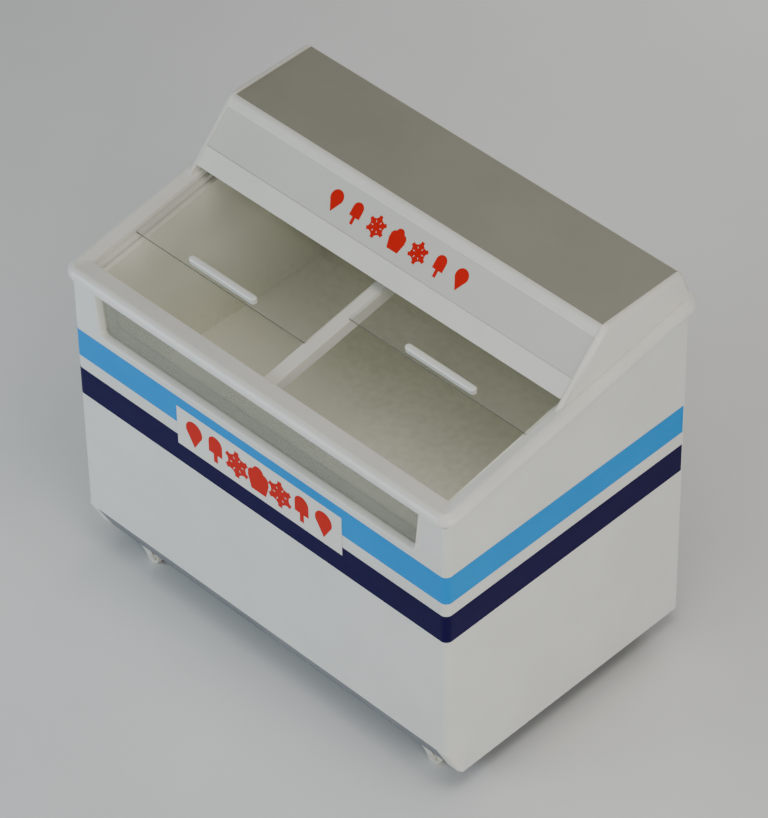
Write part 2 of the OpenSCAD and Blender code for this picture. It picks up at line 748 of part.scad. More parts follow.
// Discharge pipe to the condenser's front row, and liquid pipe from its rear row by the drier
drier_x = condenser_at[0] + condenser_size[0] / 2 + 58;
drier_y = condenser_at[1] + 45;
drier_z = 92;
drier_l = 84;
drier_cone = 16;
module refrigerant_pipes() {
    top = compressor_z + compressor_h;
    right = condenser_at[0] + condenser_size[0] / 2 + 8;
    front_y = condenser_at[1] + 15;
    over_z = riser_z - 13;
    color([0.72, 0.45, 0.30]) cabinet() {
        tube_run([[compressor_at[0], compressor_at[1], top], [compressor_at[0], compressor_at[1], top + 30],
                  [compressor_at[0], front_y, top + 30], [right + 14, front_y, top + 30],
                  [right + 14, front_y, condenser_z + 220], [right, front_y, condenser_z + 220]], pipe_r);
        tube_run([[right, drier_y, condenser_z + 20], [drier_x, drier_y, condenser_z + 20],
                  [drier_x, drier_y, drier_z]], pipe_r);
        tube_run([[drier_x, drier_y, drier_z + drier_l + 2 * drier_cone], [drier_x, drier_y, over_z],
                  [riser_at[0], drier_y, over_z], [riser_at[0], riser_at[1], over_z],
                  [riser_at[0], riser_at[1], riser_z]], pipe_r);
    }
}
module filter_drier() {
    color([0.55, 0.36, 0.22]) cabinet() translate([drier_x, drier_y, drier_z]) {
        cylinder(r1 = pipe_r, r2 = 14, h = drier_cone);
        translate([0, 0, drier_cone]) cylinder(r = 14, h = drier_l);
        translate([0, 0, drier_cone + drier_l]) cylinder(r1 = 14, r2 = pipe_r, h = drier_cone);
    }
}

// ---------- rear controls and drain ----------
switch_size = [13, 22];
module control_box() {
    s = control_size;
    face = rear_y + 1;
    color(dark_grey) cabinet() difference() {
        box_at(control_at[0] - s[0] / 2, control_at[0] + s[0] / 2, face - s[1], face,
               control_at[1] - s[2] / 2, control_at[1] + s[2] / 2);
        translate([knob_x, face - 12, control_at[1]]) rotate([-90, 0, 0])
            cylinder(r = 3 + bore_gap, h = 30);
        box_at(switch_x - switch_size[0] / 2 - 0.5, switch_x + switch_size[0] / 2 + 0.5, face - 16, face + 5,
               control_at[1] - switch_size[1] / 2 - 1, control_at[1] + switch_size[1] / 2 + 1);
    }
}
module thermostat_knob() {
    face = rear_y + 1;
    color([0.85, 0.85, 0.83]) cabinet() translate([knob_x, face, control_at[1]]) rotate([-90, 0, 0])
        difference() {
            union() {
                translate([0, 0, -11.5]) cylinder(r = 3, h = 15);
                translate([0, 0, 0.5]) cylinder(r = knob_r, h = 7);
                translate([0, 0, 7.5]) cylinder(r = knob_r - 4, h = 8);
                translate([-3, -knob_r + 1, 7.5]) cube([6, 2 * knob_r - 2, 9]);
            }
            translate([-0.75, -knob_r, 15.5]) cube([1.5, knob_r - 3, 5]);
        }
}
module lamp_switch() {
    face = rear_y + 1;
    color([0.70, 0.12, 0.10]) cabinet() translate([switch_x, face - 4, control_at[1]])
        along_x(switch_size[0]) rotate(-7) polygon([[-4, -4], [-4, 4], [1, 10.5], [5.5, 10.3],
            [4.2, 0], [5.5, -10.3], [1, -10.5]]);
}
module cord_gland() {
    color([0.12, 0.12, 0.12]) cabinet() translate([control_at[0], rear_y - 14, 110]) rotate([-90, 0, 0])
        difference() {
            union() {
                cylinder(r = 14, h = 10);
                cylinder(r = 10, h = 30);
                translate([0, 0, 14.7]) cylinder(r = 15, h = 9);
                translate([0, 0, 30]) cylinder(r1 = 10, r2 = 7.5, h = 7);
            }
            translate([0, 0, -1]) cylinder(r = 4.5, h = 50);
        }
}
module drain_tube() {
    color([0.80, 0.80, 0.78]) cabinet() translate([drain_at[0], drain_at[1], drain_end]) difference() {
        union() {
            cylinder(r = spigot_r, h = spigot_l);
            translate([0, 0, spigot_l]) cylinder(r = drain_r, h = tub_floor - drain_end - spigot_l - 0.2);
        }
        translate([0, 0, -1]) cylinder(r = drain_bore_r, h = 500);
    }
}
module drain_plug() {
    color([0.15, 0.15, 0.16]) cabinet() translate([drain_at[0], drain_at[1], tub_floor + 0.1]) {
        translate([0, 0, -22]) cylinder(r = plug_r, h = 23);
        cylinder(r = 17, h = 5);
        translate([-9, -2, 5]) cube([18, 4, 10]);
    }
}
module rear_screws() {
    y = rear_y - wrap_t + grille_t;
    color(zinc) cabinet() for (x = [-482, -245, -45, 155, 482], z = [vent_z0 - 10, vent_z1 + 1])
        translate([x, y, z]) rotate([-90, 0, 0]) cylinder(r = 4.5, h = 2.4);
}

// ---------- lids ----------
lid_x0 = lid_gap / 2;
lid_x1 = recess_half - 2.5;
handle_x = (lid_x0 + lid_x1) / 2;
module lid_glass(s, v) {
    color(clear) deck() box_at(s > 0 ? lid_x0 : -lid_x1, s > 0 ? lid_x1 : -lid_x0, v, v + lid_l, -glass_t, 0);
}
module lid_handle(s, v) {
    r = handle_w / 2;
    color(white) deck() translate([s * handle_x, v + 14, 0]) linear_extrude(handle_h) {
        square([handle_l - 2 * r, handle_w], center = true);
        for (e = [-1, 1]) translate([e * (handle_l / 2 - r), 0]) circle(r);
    }
}
module left_lid_glass() { lid_glass(-1, left_lid_v); }
module right_lid_glass() { lid_glass(1, right_lid_v); }
module left_lid_handle() { lid_handle(-1, left_lid_v); }
module right_lid_handle() { lid_handle(1, right_lid_v); }

// ---------- casters ----------
front_caster_y = -front_inset + caster_inset;
rear_caster_y = -front_inset + body_d - caster_inset;
caster_sites = [[-caster_x, front_caster_y], [caster_x, front_caster_y],
                [-caster_x, rear_caster_y], [caster_x, rear_caster_y]];
module caster_plates() {
    color(zinc) for (c = caster_sites) translate([c[0], c[1], 0]) difference() {
        union() {
            translate([-30, -22, caster_plate_z]) cube([60, 44, 3]);
            translate([0, 0, housing_z]) cylinder(r = 17, h = caster_plate_z - housing_z);
        }
        translate([0, 0, housing_z - 1]) cylinder(r = kingpin_r + bore_gap, h = 12);
    }
}
// Swivel fork with its kingpin and riveted axle; the wheel trails towards +X
module fork(i) {
    c = caster_sites[i];
    color(zinc) translate([c[0], c[1], 0]) {
        translate([0, 0, crown_z]) cylinder(r = crown_r, h = crown_t);
        translate([0, 0, crown_z]) cylinder(r = kingpin_r, h = crown_t + 10);
        for (s = [-1, 1]) translate([0, s > 0 ? arm_in : -arm_in - arm_t, 0]) along_y(0, arm_t) {
            polygon([[-13, crown_z + 2], [-9, crown_z - 8], [trail - 7.5, wheel_r - 3],
                     [trail + 7, wheel_r - 1], [trail + 4, wheel_r + 8], [13, crown_z + 2]]);
            translate([trail, wheel_r]) circle(8);
        }
        translate([trail, -arm_in - arm_t - 1.5, wheel_r]) rotate([-90, 0, 0])
            cylinder(r = axle_r, h = 2 * (arm_in + arm_t + 1.5));
    }
}
module wheel(i) {
    c = caster_sites[i];
    h = wheel_w / 2;
    color(white) translate([c[0] + trail, c[1], wheel_r]) rotate([90, 0, 0]) rotate_extrude()
        polygon([[axle_r + bore_gap, -h], [wheel_r - 3, -h], [wheel_r, -h + 3], [wheel_r, h - 3],
                 [wheel_r - 3, h], [axle_r + bore_gap, h]]);
}
module front_left_fork() { fork(0); }
module front_right_fork() { fork(1); }
module rear_left_fork() { fork(2); }
module rear_right_fork() { fork(3); }
module front_left_wheel() { wheel(0); }
module front_right_wheel() { wheel(1); }
module rear_left_wheel() { wheel(2); }
module rear_right_wheel() { wheel(3); }

outer_wrap();
back_panel();
rear_grille();
base_pan();
kick_panel();
left_corner_cap();
right_corner_cap();
light_blue_stripe();
navy_stripe();
front_badge();
badge_pictograms();
insulation_foam();
tub_liner();
evaporator_tube();
window_frame();
window_outer_pane();
window_inner_pane();
rim_frame();
centre_rail();
lid_tracks();
lid_buffers();
left_cheek();
right_cheek();
canopy_top();
fascia_upper_rail();
fascia_lower_rail();
sign_panel();
sign_pictograms();
canopy_back();
lamp_reflector();
lamp_tube();
lamp_holders();
compressor();
compressor_mounts();
condenser();
fan_shroud();
fan_motor();
refrigerant_pipes();
filter_drier();
control_box();
cord_gland();
drain_tube();
rear_screws();
caster_plates();
fan_blades();
thermostat_knob();
lamp_switch();
drain_plug();
left_lid_glass();
left_lid_handle();
right_lid_glass();
right_lid_handle();
front_left_fork();
front_right_fork();
rear_left_fork();
rear_right_fork();
front_left_wheel();
front_right_wheel();
rear_left_wheel();
rear_right_wheel();
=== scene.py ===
"""Looks of the ice cream chest freezer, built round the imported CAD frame. Metres, X right, Y back, Z up."""

import json
from math import atan2, cos, inf, pi, radians, sin, tan

import bmesh
import bpy
from mathutils import Matrix, Vector
from mathutils.geometry import convex_hull_2d

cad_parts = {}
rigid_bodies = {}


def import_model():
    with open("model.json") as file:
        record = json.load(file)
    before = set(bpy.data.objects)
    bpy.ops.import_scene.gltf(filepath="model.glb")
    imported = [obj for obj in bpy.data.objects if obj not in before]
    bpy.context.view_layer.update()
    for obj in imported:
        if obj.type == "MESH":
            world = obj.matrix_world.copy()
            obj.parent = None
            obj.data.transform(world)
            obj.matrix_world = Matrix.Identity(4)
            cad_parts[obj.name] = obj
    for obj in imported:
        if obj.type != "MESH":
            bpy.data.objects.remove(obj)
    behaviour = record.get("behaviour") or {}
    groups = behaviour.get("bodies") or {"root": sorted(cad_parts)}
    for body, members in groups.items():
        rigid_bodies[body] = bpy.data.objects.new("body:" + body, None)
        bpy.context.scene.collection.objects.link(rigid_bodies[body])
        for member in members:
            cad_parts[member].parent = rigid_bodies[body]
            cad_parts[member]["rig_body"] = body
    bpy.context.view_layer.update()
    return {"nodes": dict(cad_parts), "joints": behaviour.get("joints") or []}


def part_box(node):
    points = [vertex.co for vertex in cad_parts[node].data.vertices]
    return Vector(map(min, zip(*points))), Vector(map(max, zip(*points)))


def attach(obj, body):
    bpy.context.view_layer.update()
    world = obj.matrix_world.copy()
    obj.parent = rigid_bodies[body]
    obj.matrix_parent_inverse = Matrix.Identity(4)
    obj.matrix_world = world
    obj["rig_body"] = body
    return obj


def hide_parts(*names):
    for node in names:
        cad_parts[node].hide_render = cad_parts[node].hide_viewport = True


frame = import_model()
MM = 0.001
ARC_STEPS = 8  # segments in a rounded corner
BEVEL_ANGLE = radians(38)  # edges sharper than this are rounded
SMOOTH_ANGLE = radians(32)  # edges sharper than this break the smooth shading


# ---------- places, all read from the frame ----------
def joint(name):
    return next(j for j in frame["joints"] if j["name"] == name)


def vertices(node):
    return [v.co for v in frame["nodes"][node].data.vertices]


def span(node, place, above=-inf):
    """Lowest and highest corner of a CAD node, or of its part above a height, in the frame of place."""
    back = place.inverted()
    points = [back @ point for point in vertices(node)]
    points = [p for p in points if p.z > above]
    low = Vector([min(p[i] for p in points) for i in range(3)])
    return low, Vector([max(p[i] for p in points) for i in range(3)])


wrap_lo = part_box("outer_wrap")[0]
CABINET = Matrix.Translation((0, wrap_lo.y, wrap_lo.z))
slide = Vector(joint("left_lid_slide")["axis"])
DECK = Matrix.Rotation(atan2(slide.z, slide.y), 4, "X")
sign_faces = [f for f in frame["nodes"]["sign_panel"].data.polygons if f.normal.z > 0.1]
sign_normal = max(sign_faces, key=lambda f: f.area).normal.copy()
fascia_slope = atan2(-sign_normal.y, sign_normal.z)
FASCIA = Matrix.Rotation(fascia_slope, 4, "X")

# How an outline's two axes and its height are turned, in that order.
LEVEL = Matrix.Identity(4)
ALONG_X = Matrix(((0, 0, 1, 0), (1, 0, 0, 0), (0, 1, 0, 0), (0, 0, 0, 1)))  # to Y, Z and X
ALONG_Y = Matrix(((1, 0, 0, 0), (0, 0, 1, 0), (0, 1, 0, 0), (0, 0, 0, 1)))  # to X, Z and Y
UP_THE_DECK = DECK @ Matrix(((-1, 0, 0, 0), (0, 0, 1, 0), (0, 1, 0, 0), (0, 0, 0, 1)))


# ---------- curves and outlines ----------
def ease(t):
    """Smooth step from 0 to 1."""
    t = min(max(t, 0.0), 1.0)
    return t * t * (3 - 2 * t)


def soft_max(a, b, width):
    """The larger of two values, blended where they are closer than width."""
    blend = max(width - abs(a - b), 0)
    return max(a, b) + blend * blend / (4 * width)


def quarter(k, steps=5):
    """Angle of the k-th step of a quarter turn."""
    return k / steps * pi / 2


def box_corners(x0, y0, x1, y1):
    return [Vector(p) for p in ((x0, y0), (x1, y0), (x1, y1), (x0, y1))]


def hull_corners(points, least):
    """Corners of the hull round flat points, without any that is closer than least to the one before."""
    hull = [Vector(points[i]) for i in convex_hull_2d(points)]
    return [p for i, p in enumerate(hull) if (p - hull[i - 1]).length > least]


def outline(corners, radii, inset=0.0, steps=ARC_STEPS):
    """Points round a counterclockwise polygon with filleted corners, moved inwards by inset."""
    points = []
    for i, corner in enumerate(corners):
        u = (corner - corners[i - 1]).normalized()
        v = (corners[(i + 1) % len(corners)] - corner).normalized()
        nu = Vector((-u.y, u.x))
        nv = Vector((-v.y, v.x))
        turn = atan2(u.x * v.y - u.y * v.x, u.dot(v))
        side = 1 if turn > 0 else -1
        apex = corner + (nu + nv) * (inset / (1 + nu.dot(nv)))
        r = max(radii[i] - side * inset, 0)
        start = apex - u * r * tan(abs(turn) / 2)
        centre = start + nu * r * side
        spoke = start - centre
        for k in range(steps + 1):
            points.append(centre + Matrix.Rotation(turn * k / steps, 2) @ spoke)
    return points


def lift(place, points, z):
    """Points of a plan, put at a height in the frame of place."""
    return [place @ Vector((p.x, p.y, z)) for p in points]


def on_deck(points, w):
    """Points of a plan, each carried straight up to the plane at height w over the deck."""
    up = DECK.to_3x3() @ Vector((0, 0, 1))
    return [Vector((p.x, p.y, (w - up.y * p.y) / up.z)) for p in points]


# ---------- solids ----------
def rings_mesh(name, rings, closed=False):
    """Skins a stack of rings with quads; the ends are capped, or joined to each other when closed."""
    bm = bmesh.new()
    layers = [[bm.verts.new(p) for p in ring] for ring in rings]
    count = len(layers[0])
    pairs = list(zip(layers, layers[1:] + layers[:1]))
    for a, b in pairs if closed else pairs[:-1]:
        for i in range(count):
            j = (i + 1) % count
            bm.faces.new((a[i], a[j], b[j], b[i]))
    if not closed:
        bm.faces.new(list(reversed(layers[0])))
        bm.faces.new(layers[-1])
    bmesh.ops.remove_doubles(bm, verts=bm.verts, dist=1e-6)
    bmesh.ops.dissolve_degenerate(bm, edges=bm.edges, dist=1e-6)
    bmesh.ops.recalc_face_normals(bm, faces=bm.faces)
    mesh = bpy.data.meshes.new(name)
    bm.to_mesh(mesh)
    bm.free()
    obj = bpy.data.objects.new(name, mesh)
    bpy.context.scene.collection.objects.link(obj)
    return obj


def rounded_prism(name, place, corners, radii, z0, z1, top, bottom=0.0, steps=ARC_STEPS):
    """Upright prism whose top and bottom edges are rounded by their own radii."""
    levels = [(bottom * (1 - sin(quarter(k))), z0 + bottom * (1 - cos(quarter(k)))) for k in range(6)]
    levels += [(top * (1 - cos(quarter(k))), z1 - top * (1 - sin(quarter(k)))) for k in range(6)]
    if not bottom:
        levels = levels[5:]
    rings = [lift(place, outline(corners, radii, inset, steps), z) for inset, z in levels]
    return rings_mesh(name, rings)


def bar_along_x(name, corners, radii, x0, x1, edges, steps=ARC_STEPS):
    """Y-Z outline run along X, with its left and right ends rounded."""
    left, right = edges
    return rounded_prism(name, ALONG_X, corners, radii, x0, x1, right, left, steps)


def circle(radius, count):
    turns = [2 * pi * k / count for k in range(count)]
    return [Vector((radius * cos(a), radius * sin(a))) for a in turns]


def lathe(name, place, profile, count=64):
    """Turned part: profile is a closed list of (radius, height)."""
    return rings_mesh(name, [lift(place, circle(r, count), z) for r, z in profile], closed=True)


# ---------- pieces ----------
def tidy_copy(node, whole_faces=True):
    """Copy of a CAD node's mesh with its seams welded and, unless told otherwise, its flat faces whole."""
    mesh = frame["nodes"][node].data.copy()
    bm = bmesh.new()
    bm.from_mesh(mesh)
    bmesh.ops.remove_doubles(bm, verts=bm.verts, dist=2e-6)
    if whole_faces:
        bmesh.ops.dissolve_limit(bm, angle_limit=radians(0.4), verts=bm.verts, edges=bm.edges)
    bm.to_mesh(mesh)
    bm.free()
    obj = bpy.data.objects.new(node + "_finish", mesh)
    bpy.context.scene.collection.objects.link(obj)
    return obj


def bake_modifiers(obj):
    """Makes the modifiers' result the mesh itself."""
    graph = bpy.context.evaluated_depsgraph_get()
    mesh = bpy.data.meshes.new_from_object(obj.evaluated_get(graph))
    obj.modifiers.clear()
    obj.data = mesh


def soften(obj, width, segments):
    """Rounds an object's sharp edges."""
    bevel = obj.modifiers.new("edges", "BEVEL")
    bevel.width = width
    bevel.segments = segments
    bevel.limit_method = "ANGLE"
    bevel.angle_limit = BEVEL_ANGLE
    bevel.harden_normals = False
    bake_modifiers(obj)
    return obj


def cut_away(obj, other):
    """Takes another object's shape out of this one, and removes the other."""
    cut = obj.modifiers.new("cut", "BOOLEAN")
    cut.operation = "DIFFERENCE"
    cut.solver = "EXACT"
    cut.object = other
    bake_modifiers(obj)
    bpy.data.objects.remove(other)
    return obj


def shade(obj):
    """Smooth shading broken at real edges, with normals that favour the large faces."""
    for face in obj.data.polygons:
        face.use_smooth = True
    obj.data.set_sharp_from_angle(angle=SMOOTH_ANGLE)
    weighted = obj.modifiers.new("normals", "WEIGHTED_NORMAL")
    weighted.keep_sharp = True
    bake_modifiers(obj)


def stand_for(obj, material, node):
    """Gives a piece its material, and puts it in the place of a CAD node."""
    shade(obj)
    obj.data.materials.clear()
    obj.data.materials.append(material)
    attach(obj, frame["nodes"][node]["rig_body"])
    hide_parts(node)
    return obj


def plain(node, material, width, segments=2):
    """A CAD shape that is right as it is, with its edges rounded."""
    return stand_for(soften(tidy_copy(node), width, segments), material, node)


def film(node, material, whole_faces=True):
    """A CAD shape too thin to have its edges rounded."""
    return stand_for(tidy_copy(node, whole_faces), material, node)


# ---------- materials ----------
def new_material(name):
    """New material, its node tree and its shader."""
    material = bpy.data.materials.new(name)
    material.use_nodes = True
    tree = material.node_tree
    return material, tree, tree.nodes["Principled BSDF"]


def set_inputs(shader, values):
    for name, value in values.items():
        shader.inputs[name].default_value = value


# Noise in the object's own coordinates, in metres: its scale and detail.
CLOUDS = (7.0, 4.0)
SMEARS = (9.0, 5.0)
SMUDGES = (23.0, 5.0)
SPECKS = (60.0, 5.0)
FLOOR_TONE = (3.0, 3.0)
# Tint of the darkening in the creases, partly grime and partly painted shade.
DIRT_AND_SHADE_TINT = (0.62, 0.58, 0.50)
GRAIN_DEPTH = 0.4 * MM


def noise(tree, scale, detail, stretch=(1, 1, 1)):
    place = tree.nodes.new("ShaderNodeTexCoord")
    mapping = tree.nodes.new("ShaderNodeMapping")
    mapping.inputs["Scale"].default_value = stretch
    tree.links.new(place.outputs["Object"], mapping.inputs["Vector"])
    texture = tree.nodes.new("ShaderNodeTexNoise")
    texture.inputs["Scale"].default_value = scale
    texture.inputs["Detail"].default_value = detail
    tree.links.new(mapping.outputs["Vector"], texture.inputs["Vector"])
    return texture.outputs["Fac"]


def ramp(tree, source, low, high):
    """Colour ramp from one (position, colour) stop to another."""
    node = tree.nodes.new("ShaderNodeValToRGB")
    tree.links.new(source, node.inputs["Fac"])
    for element, (position, colour) in zip(node.color_ramp.elements, (low, high)):
        element.position = position
        element.color = (*colour, 1)
    return node.outputs["Color"]


def grey(value):
    return (value, value, value)


def scaled(colour, factor):
    return tuple(min(1.0, c * factor) for c in colour)


def blend_colours(tree, factor, a, b, mode="MIX"):
    """Mixes two colours; the factor and the colours are values or the outputs of other nodes."""
    node = tree.nodes.new("ShaderNodeMix")
    node.data_type = "RGBA"
    node.blend_type = mode
    for socket, value in ((node.inputs[0], factor), (node.inputs[6], a), (node.inputs[7], b)):
        if isinstance(value, bpy.types.NodeSocket):
            tree.links.new(value, socket)
        elif isinstance(value, float):
            socket.default_value = value
        else:
            socket.default_value = (*value, 1)
    return node.outputs[2]


def tone_with_crease_grime_and_shade(tree, colour, mottle, grime_and_shade):
    """Cloudy colour, darkened in specks in the creases: partly grime, partly painted crease shade."""
    tone = ramp(tree, noise(tree, *CLOUDS), (0.3, scaled(colour, 1 - mottle)),
                (0.7, scaled(colour, 1 + mottle)))
    # Creases found by pointiness are darkened: partly grime, partly painted shade.
    pointy = tree.nodes.new("ShaderNodeNewGeometry").outputs["Pointiness"]
    crease = ramp(tree, pointy, (0.44, grey(1)), (0.495, grey(0)))
    specks = ramp(tree, noise(tree, *SPECKS), (0.35, grey(0)), (0.75, grey(1)))
    dirt_and_shade = blend_colours(tree, 1.0, crease, specks, "MULTIPLY")
    amount = blend_colours(tree, 1.0, dirt_and_shade, grey(grime_and_shade), "MULTIPLY")
    dirt_and_shade_colour = tuple(c * k for c, k in zip(colour, DIRT_AND_SHADE_TINT))
    return blend_colours(tree, amount, tone, dirt_and_shade_colour)


def smudged(tree, rough, spread):
    """Roughness that wanders by spread either way."""
    low = max(rough - spread, 0.02)
    high = rough + spread
    return ramp(tree, noise(tree, *SMUDGES), (0.3, grey(low)), (0.75, grey(high)))


def fine_grain(tree, strength, scale):
    bump = tree.nodes.new("ShaderNodeBump")
    bump.inputs["Strength"].default_value = strength
    bump.inputs["Distance"].default_value = GRAIN_DEPTH
    tree.links.new(noise(tree, scale, 2.0), bump.inputs["Height"])
    return bump.outputs["Normal"]


def finish(name, colour, rough, grain=0.0, grain_scale=900.0, mottle=0.04, coat=0.0, metallic=0.0,
           rough_spread=0.06, grime_and_shade=0.35, shine=0.5):
    """Painted, moulded or metal surface: cloudy tone, fine grain in the bump, and darkening in the creases
    that is partly grime and partly painted shade.
    """
    material, tree, shader = new_material(name)
    tree.links.new(tone_with_crease_grime_and_shade(tree, colour, mottle, grime_and_shade), shader.inputs["Base Color"])
    tree.links.new(smudged(tree, rough, rough_spread), shader.inputs["Roughness"])
    if grain:
        tree.links.new(fine_grain(tree, grain, grain_scale), shader.inputs["Normal"])
    set_inputs(shader, {"Metallic": metallic, "Specular IOR Level": shine, "Coat Weight": coat,
                        "Coat Roughness": 0.12})
    return material


def clear_glass(name, tint, alpha):
    """Thin pane: lets light through, with a faint tint, smears and a sharp reflection."""
    material, tree, shader = new_material(name)
    smears = noise(tree, *SMEARS, (1, 2.4, 1))
    colour = ramp(tree, smears, (0.3, scaled(tint, 0.9)), (0.7, scaled(tint, 1.06)))
    tree.links.new(colour, shader.inputs["Base Color"])
    roughness = ramp(tree, smears, (0.4, grey(0.03)), (0.8, grey(0.09)))
    tree.links.new(roughness, shader.inputs["Roughness"])
    set_inputs(shader, {"Alpha": alpha, "IOR": 1.52, "Specular IOR Level": 0.6})
    return material


paint_white = finish("paint_white", (0.78, 0.78, 0.735), 0.34, grain=0.10, grain_scale=700, coat=0.25)
plastic_white = finish("plastic_white", (0.82, 0.80, 0.735), 0.38, grain=0.06, grain_scale=1500, coat=0.1)
rim_white = finish("rim_white", (0.83, 0.815, 0.755), 0.36, grain=0.05, grain_scale=1200, coat=0.12,
                   grime_and_shade=0.08)
# Painted shade: the canopy top is coloured dark olive grey, far darker than the white canopy, so that it
# looks dim; its grain in the bump is real.
top_grain_and_shade = finish("top_grain_and_shade", (0.29, 0.285, 0.23), 0.6, grain=0.5, grain_scale=900, mottle=0.04)
handle_white = finish("handle_white", (0.86, 0.85, 0.80), 0.26, coat=0.4, mottle=0.02)
# Painted shade: the sign is coloured greyer than white so that the tilted fascia looks dimmer.
sign_shaded_white = finish("sign_shaded_white", (0.70, 0.69, 0.63), 0.12, mottle=0.02, coat=0.6, rough_spread=0.03)
liner_white = finish("liner_white", (0.95, 0.935, 0.81), 0.46, grain=0.04, mottle=0.012, rough_spread=0.01)
track_white = finish("track_white", (0.84, 0.82, 0.74), 0.4, grain=0.05, mottle=0.03, grime_and_shade=0.08)
track_grey = finish("track_grey", (0.62, 0.62, 0.58), 0.5, grain=0.08, mottle=0.05)
blue_film = finish("blue_film", (0.0, 0.27, 0.72), 0.34, mottle=0.03, grime_and_shade=0.0, shine=0.12)
navy_film = finish("navy_film", (0.008, 0.0035, 0.056), 0.36, mottle=0.05, grime_and_shade=0.0, shine=0.06)
red_film = finish("red_film", (0.60, 0.010, 0.004), 0.34, mottle=0.04, grime_and_shade=0.0, shine=0.12)
badge_white = finish("badge_white", (0.82, 0.80, 0.75), 0.2, mottle=0.02, coat=0.3)
kick_grey = finish("kick_grey", (0.21, 0.215, 0.235), 0.6, grain=0.3, mottle=0.15)
dark_paint = finish("dark_paint", (0.03, 0.032, 0.035), 0.5, grain=0.15, mottle=0.15)
dark_plastic = finish("dark_plastic", (0.022, 0.022, 0.025), 0.48, grain=0.25, mottle=0.1)
rubber_black = finish("rubber_black", (0.018, 0.018, 0.018), 0.75, grain=0.3, mottle=0.15)
zinc_steel = finish("zinc_steel", (0.55, 0.56, 0.58), 0.32, grain=0.1, mottle=0.1, metallic=1.0,
                    rough_spread=0.12)
fin_metal = finish("fin_metal", (0.60, 0.61, 0.63), 0.38, grain=0.2, mottle=0.08, metallic=1.0)
copper_tube = finish("copper_tube", (0.55, 0.24, 0.13), 0.34, mottle=0.2, metallic=1.0, rough_spread=0.12)
wheel_nylon = finish("wheel_nylon", (0.70, 0.68, 0.60), 0.42, grain=0.1, mottle=0.08, grime_and_shade=0.6)
caster_white = finish("caster_white", (0.68, 0.665, 0.60), 0.4, grain=0.1, mottle=0.06, grime_and_shade=0.6)
knob_white = finish("knob_white", (0.70, 0.70, 0.67), 0.35, mottle=0.03, coat=0.2)
switch_red = finish("switch_red", (0.42, 0.02, 0.015), 0.25, mottle=0.05, coat=0.3)
foam_tan = finish("foam_tan", (0.62, 0.52, 0.28), 0.9, grain=0.6, grain_scale=500, mottle=0.15)
reflector_white = finish("reflector_white", (0.80, 0.80, 0.77), 0.3, mottle=0.02)
lamp_opal = finish("lamp_opal", (0.88, 0.88, 0.85), 0.2, mottle=0.02, coat=0.5)
compressor_black = finish("compressor_black", (0.012, 0.012, 0.014), 0.28, grain=0.1, mottle=0.2, coat=0.4)
window_glass = clear_glass("window_glass", (0.36, 0.36, 0.285), 0.42)
inner_glass = clear_glass("inner_glass", (0.30, 0.31, 0.27), 0.15)
# Painted reflection: the lids' pale tint is a milky haze that stands for light reflected off the glass, and
# it lightens the tub behind it.
lid_glass = clear_glass("lid_glass", (0.56, 0.56, 0.47), 0.10)
# Painted shade: a dark colour for the lids' front and rear glass edges.
glass_edge_shade = finish("glass_edge_shade", (0.14, 0.145, 0.11), 0.3, grime_and_shade=0.0)


# ---------- cabinet ----------
plain("outer_wrap", paint_white, 0.5 * MM)
plain("back_panel", paint_white, 0.5 * MM)
plain("base_pan", dark_paint, 0.5 * MM)
plain("kick_panel", kick_grey, 0.8 * MM)


def cap_levels(foot, crest, top):
    """Heights of the cap's rings, close together at the toe and under the crest."""
    toe = (0, 0.6, 1.4, 2.6, 4.2, 6.2, 8.5, 11)
    slope = range(16, 68, 6)
    under_crest = (17, 14, 11, 9, 7.5, 6, 5, 4, 3.2, 2.6, 2.2, 1.8, 1.4, 1, 0.6, 0.2)
    levels = [foot + h * MM for h in (*toe, *slope)]
    levels += [crest - h * MM for h in under_crest]
    return levels + [crest + 0.4 * MM, top]


def cap_swell(z, crest):
    """How far the cap stands out, from 0 to 1: a low bead at the crest, settling to 0.6 below it."""
    bead_rise = 2.2 * MM
    bead = 3 * MM
    settling = 6 * MM
    return ease((crest - z) / bead_rise) * (1 - 0.4 * ease((crest - bead - z) / settling))


def near_foot(height, reach):
    """1 at the cap's foot, falling to 0 at reach above it."""
    return max(1 - height / reach, 0) ** 2


def cap_face(inner, outer, front, rear, radius):
    """Plan of the cap's face from the kick round the corner to its rear edge, as (point, normal) pairs."""
    run = outer - radius - inner
    face = [(Vector((inner + run * k / 4, front)), Vector((0, -1))) for k in range(4)]
    for k in range(11):
        turn = quarter(k, 10)
        normal = Vector((sin(turn), -cos(turn)))
        face.append((Vector((outer - radius, front + radius)) + normal * radius, normal))
    side = rear - front - radius
    return face + [(Vector((outer, front + radius + side * k / 8)), Vector((1, 0))) for k in range(1, 9)]


